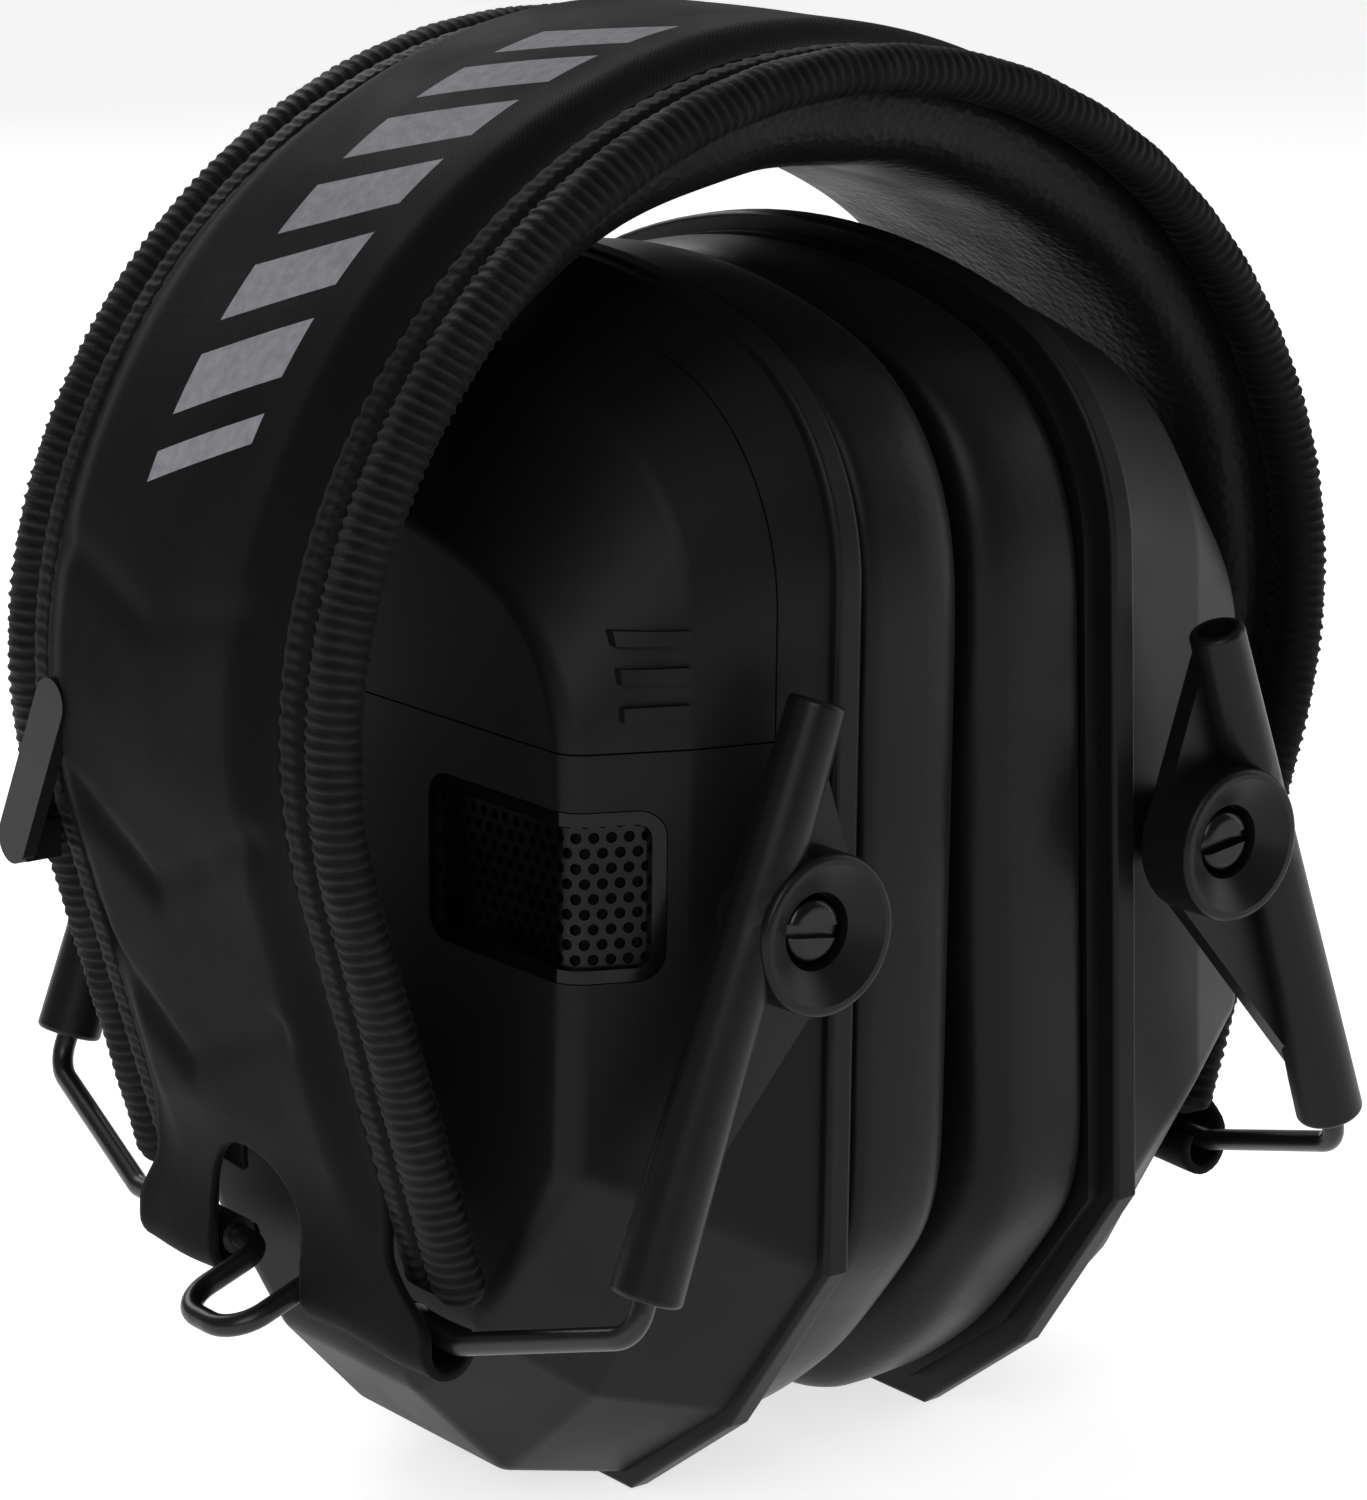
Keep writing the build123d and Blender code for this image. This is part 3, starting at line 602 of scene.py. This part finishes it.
def cushion_radius(angle):
    """The cushion's outline as a radius round the ear: wide shoulders and a tapered foot."""
    half, height = CUSHION_OUTLINE
    foot = np.array([(half, -31.5), (26.2, -47.4), (13.0, -57.4)])
    corner, crown = 0.52 * half, 1.93 * half
    turn = np.linspace(0, math.pi / 2, 30)
    crown_centre = height - crown
    corner_y = half - corner
    corner_z = crown_centre + math.sqrt((crown - corner) ** 2 - corner_y**2)
    meet = math.atan2(corner_z - crown_centre, corner_y)
    arc = [(corner_y + corner * math.cos(t), corner_z + corner * math.sin(t)) for t in turn if t < meet]
    over = np.linspace(meet, math.pi / 2, 12)
    top = [(crown * math.cos(t), crown_centre + crown * math.sin(t)) for t in over]
    right = np.vstack([foot[::-1], arc, top])
    left = right[::-1] * (-1, 1)
    outline = np.vstack([right, left[1:]])
    dense = np.vstack([np.linspace(a, b, 20)[:-1] for a, b in zip(outline, np.roll(outline, -1, axis=0))])
    bearings = np.arctan2(dense[:, 1], dense[:, 0])
    order = np.argsort(bearings)
    radius = np.interp(angle, bearings[order], np.hypot(*dense.T)[order], period=2 * math.pi)
    spread = np.exp(-((np.arange(-8, 9) / 4.0) ** 2))
    around = np.concatenate([radius[-8:], radius, radius[:8]])
    return np.convolve(around, spread / spread.sum(), "valid")


def ear_cushion(side):
    """The cushion ring: full and rounded, with faint gathers round the ear opening."""
    angle = np.linspace(-math.pi, math.pi, 240, endpoint=False)
    outer = cushion_radius(angle)[:, None]
    inner = (1 / np.hypot(np.cos(angle) / EAR_OVAL[0], np.sin(angle) / EAR_OVAL[1]))[:, None]
    angle = angle[:, None]
    turn = np.linspace(0, 2 * math.pi, 40, endpoint=False)[None, :]
    square = np.where(np.sin(turn) > 0, 0.22, 0.60)
    reach = np.sign(np.cos(turn)) * np.abs(np.cos(turn)) ** square
    depth = np.sign(np.sin(turn)) * np.abs(np.sin(turn)) ** square
    low, high = CUSHION_X
    x = (low + high) / 2 + (high - low) / 2 * depth
    gather = 0.20 * np.sin(26 * angle + 1.5 * np.sin(5 * angle)) * smoothstep(0.2, 1.0, -reach)
    radius = (inner + outer) / 2 + (outer - inner) / 2 * reach + gather
    points = on_cup(side, x, radius * np.cos(angle), radius * np.sin(angle))
    points = np.concatenate([points, points[:1]], axis=0)
    gap = TOUCH_GAP * MM
    x = points[..., 0]
    points[..., 0] = np.minimum(x, -gap) if side == "left" else np.maximum(x, gap)
    cushion = grid_object(f"{side}_cushion", points, closed=True)
    shape = bmesh.new()
    shape.from_mesh(cushion.data)
    bmesh.ops.remove_doubles(shape, verts=shape.verts, dist=1e-7)
    bmesh.ops.recalc_face_normals(shape, faces=shape.faces)
    shape.to_mesh(cushion.data)
    shape.free()
    dress(cushion, "cushion_leather")
    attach(cushion, f"{side}_cup")
    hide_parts(f"{side}_ear_cushion")


EAR_DISC_OVAL = (22.5, 30.5)
EAR_DISC_SECTION = (  # share of the oval and distance from the middle, from the ear's side to the back
    (0.02, 0.2, 0.4, 0.6, 0.8, 0.93, 1.0, 1.0, 0.9, 0.5, 0.02),
    (13.5, 13.55, 13.65, 13.8, 14.0, 14.25, 14.7, 15.7, 16.0, 16.0, 16.0),
)


def ear_disc(side):
    """The foam disc behind the ear opening, a little domed."""
    angle = np.linspace(0, 2 * math.pi, 96, endpoint=False)[None, :]
    share, x = (np.array(values)[:, None] for values in EAR_DISC_SECTION)
    dimple = 0.12 * np.sin(9 * share + 3 * angle) * np.sin(5 * angle)
    y, z = share * EAR_DISC_OVAL[0] * np.cos(angle), share * EAR_DISC_OVAL[1] * np.sin(angle)
    points = on_cup(side, x + dimple * (share < 0.95), y, z)
    disc = grid_object(f"{side}_ear_disc", points, closed=True, caps=True)
    face_outwards(disc)
    dress(disc, "foam")
    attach(disc, f"{side}_cup")
    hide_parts(f"{side}_ear_foam")


HOLE_PITCH = 1.48
HOLE_RADIUS = 0.48
GRILLE_INSET = 0.7
GRILLE_BEND = 3.0
FACET_START = 32.2
FACET_END = (29.0, 36.4)


def grille_line(distance, inset):
    """The grille's path from the outer face round on to the side facet: x outwards and y to the front."""
    way = np.array([FACET_END[0] - FACE_X, FACET_END[1] - FACET_START])
    bend_turn = math.atan2(-way[0], way[1])
    radius = GRILLE_BEND - inset
    tangent = radius * math.tan(bend_turn / 2)
    flat = FACET_START - inset * math.tan(bend_turn / 2) - tangent + WINDOW_Y
    turned = np.clip((distance - flat) / radius, 0, bend_turn)
    past = np.maximum(distance - flat - radius * bend_turn, 0)
    x = FACE_X - inset - radius * (1 - np.cos(turned)) - past * math.sin(bend_turn)
    y = -WINDOW_Y + np.minimum(distance, flat) + radius * np.sin(turned) + past * math.cos(bend_turn)
    return x, -y


def window_grille(side):
    """A perforated sheet behind the microphone window: rings of faces round a close pattern of holes."""
    rise = HOLE_PITCH * math.sqrt(3) / 2
    verts, faces = [], []
    corner_turn = np.radians(np.arange(12) * 30 + 30)
    flat_share = math.cos(math.radians(30))
    corner = HOLE_PITCH / 2 / flat_share * np.where(np.arange(12) % 2, flat_share, 1)
    for level, z in enumerate(np.arange(WINDOW_Z[0] - rise / 2, WINDOW_Z[1] + rise, rise)):
        shift = HOLE_PITCH / 2 * (level % 2)
        for distance in np.arange(-0.5, 27.5, HOLE_PITCH) + shift:
            first = len(verts)
            verts += [(distance + c * math.cos(t), z + c * math.sin(t)) for c, t in zip(corner, corner_turn)]
            for t in corner_turn:
                verts.append((distance + HOLE_RADIUS * math.cos(t), z + HOLE_RADIUS * math.sin(t)))
            for i in range(12):
                following = (i + 1) % 12
                faces.append([first + i, first + following, first + 12 + following, first + 12 + i])
    flat = np.array(verts)
    x, y = grille_line(flat[:, 0], GRILLE_INSET)
    mesh = bpy.data.meshes.new(f"{side}_grille_sheet")
    mesh.from_pydata(on_cup(side, x, y, flat[:, 1]).tolist(), [], faces)
    sheet = bpy.data.objects.new(f"{side}_grille_sheet", mesh)
    bpy.context.scene.collection.objects.link(sheet)
    shape = bmesh.new()
    shape.from_mesh(mesh)
    bmesh.ops.remove_doubles(shape, verts=shape.verts, dist=0.05 * MM)
    shape.to_mesh(mesh)
    shape.free()
    outwards = -1 if side == "left" else 1
    if mesh.polygons[0].normal.x * outwards < 0:
        mesh.flip_normals()
    thicken(sheet, 0.4)
    sheet.data.polygons.foreach_set("use_smooth", [False] * len(sheet.data.polygons))
    dress(sheet, "grille_metal")
    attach(sheet, f"{side}_cup")
    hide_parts(f"{side}_microphone_grille")


def window_cloth(side):
    """The black dust cloth behind the perforated sheet."""
    distance = np.linspace(-0.5, 26.5, 40)[:, None]
    z = np.linspace(WINDOW_Z[0], WINDOW_Z[1], 12)[None, :]
    x, y = grille_line(distance, 1.5)
    cloth = grid_object(f"{side}_grille_cloth", on_cup(side, x + 0 * z, y + 0 * z, z + 0 * distance))
    dress(cloth, "foam")
    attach(cloth, f"{side}_cup")


# ------------------------------------------------------------------ studio
CAMERA_BEARING = math.radians(38.83)
CAMERA_DIP = math.radians(14.01)
CAMERA_ROLL = math.radians(0.64)
CAMERA_LENS = 111.08
CAMERA_PLACE = (-0.256859, -0.318326, 0.165485)
FLOOR_HALF = 4.0


def camera():
    """Seen from the front left and a little above, with a long lens."""
    bearing, dip, roll = CAMERA_BEARING, CAMERA_DIP, CAMERA_ROLL
    forward = Vector((math.sin(bearing) * math.cos(dip), math.cos(bearing) * math.cos(dip), -math.sin(dip)))
    level = Vector((math.cos(bearing), -math.sin(bearing), 0))
    upright = level.cross(forward)
    across = math.cos(roll) * level + math.sin(roll) * upright
    up = math.cos(roll) * upright - math.sin(roll) * level
    data = bpy.data.cameras.new("camera")
    data.lens = CAMERA_LENS
    data.sensor_width = 36.0
    lens = bpy.data.objects.new("camera", data)
    bpy.context.scene.collection.objects.link(lens)
    lens.matrix_world = Matrix((across, up, -forward)).transposed().to_4x4()
    lens.location = CAMERA_PLACE
    bpy.context.scene.camera = lens


def soft_light(name, place, size, power, aim=(0, 0, 0.06)):
    data = bpy.data.lights.new(name, "AREA")
    data.shape = "RECTANGLE"
    data.size, data.size_y = size
    data.energy = power
    light = bpy.data.objects.new(name, data)
    bpy.context.scene.collection.objects.link(light)
    light.location = place
    light.rotation_mode = "QUATERNION"
    light.rotation_quaternion = (Vector(aim) - Vector(place)).to_track_quat("-Z", "Y")


def studio():
    """A white floor, a white surround and large soft lights."""
    edge = np.array([-FLOOR_HALF, FLOOR_HALF])
    floor = grid_object("floor", np.stack(np.broadcast_arrays(edge, edge[:, None], 0.0), axis=-1))
    white = Surface("studio_white", (0.88, 0.88, 0.88), 0.7)
    white.set(**{"Emission Color": (1, 1, 1, 1), "Emission Strength": 0.72})
    white.bump(white.noise(400.0), 0.02)
    floor.data.materials.append(white.material)
    world = bpy.data.worlds.new("surround")
    world.use_nodes = True
    world.node_tree.nodes["Background"].inputs["Color"].default_value = (1, 1, 1, 1)
    world.node_tree.nodes["Background"].inputs["Strength"].default_value = 0.2
    bpy.context.scene.world = world
    soft_light("key", (-0.55, -0.50, 0.55), (0.5, 0.5), 2.3)
    soft_light("side", (0.70, -0.35, 0.30), (0.4, 0.6), 1.1)
    soft_light("back", (0.15, 0.70, 0.55), (0.7, 0.4), 3.0)
    bpy.context.scene.view_settings.view_transform = "Standard"


def main():
    make_materials()
    dress_cad_nodes()
    band_cover()
    band_edge("edge_roll_front", -1, "band_edge_front")
    band_edge("edge_roll_rear", 1, "band_edge_rear")
    head_pad()
    spring_strip()
    for side in ("left", "right"):
        ear_cushion(side)
        ear_disc(side)
        window_grille(side)
        window_cloth(side)
    camera()
    studio()


main()
